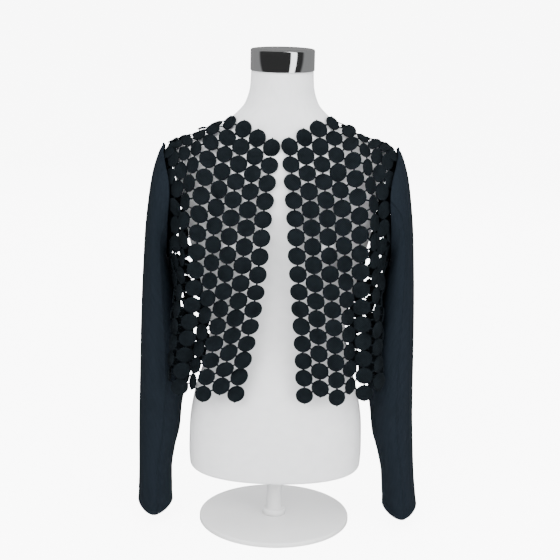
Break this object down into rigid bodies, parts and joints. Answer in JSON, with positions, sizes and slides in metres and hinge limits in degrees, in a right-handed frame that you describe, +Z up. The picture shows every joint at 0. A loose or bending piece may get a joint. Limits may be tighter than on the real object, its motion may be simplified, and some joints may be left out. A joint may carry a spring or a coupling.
{
  "type": "cardigan on dress form",
  "caption": "Cropped open-front cardigan with a cutwork body of joined round dots and plain long sleeves, on a white dress form on a low stand.",
  "frame": {"origin": "centre of the stand plate's underside, on the floor", "axes": "+Z up, -Y towards the front of the cardigan, +X towards the wearer's left"},
  "size_m": [0.4685, 0.2564, 0.784],
  "materials": {
    "cutwork": "matte felted dots with a fine diagonal weave, cut clean at the rim",
    "knit": "smooth fine-gauge knit, dark navy with a soft sheen",
    "jersey": "matte white jersey stretched smooth",
    "chrome": "mirror polished",
    "enamel": "white satin enamel"
  },
  "bodies": {
    "root": {"front_left": "cutwork", "front_right": "cutwork", "back": "cutwork", "sleeve_left_upper": "knit", "sleeve_left_under": "knit", "sleeve_right_upper": "knit", "sleeve_right_under": "knit", "form_torso": "jersey", "neck_cap": "chrome", "stand_plate": "enamel", "stand_pole": "enamel"}
  },
  "joints": []
}
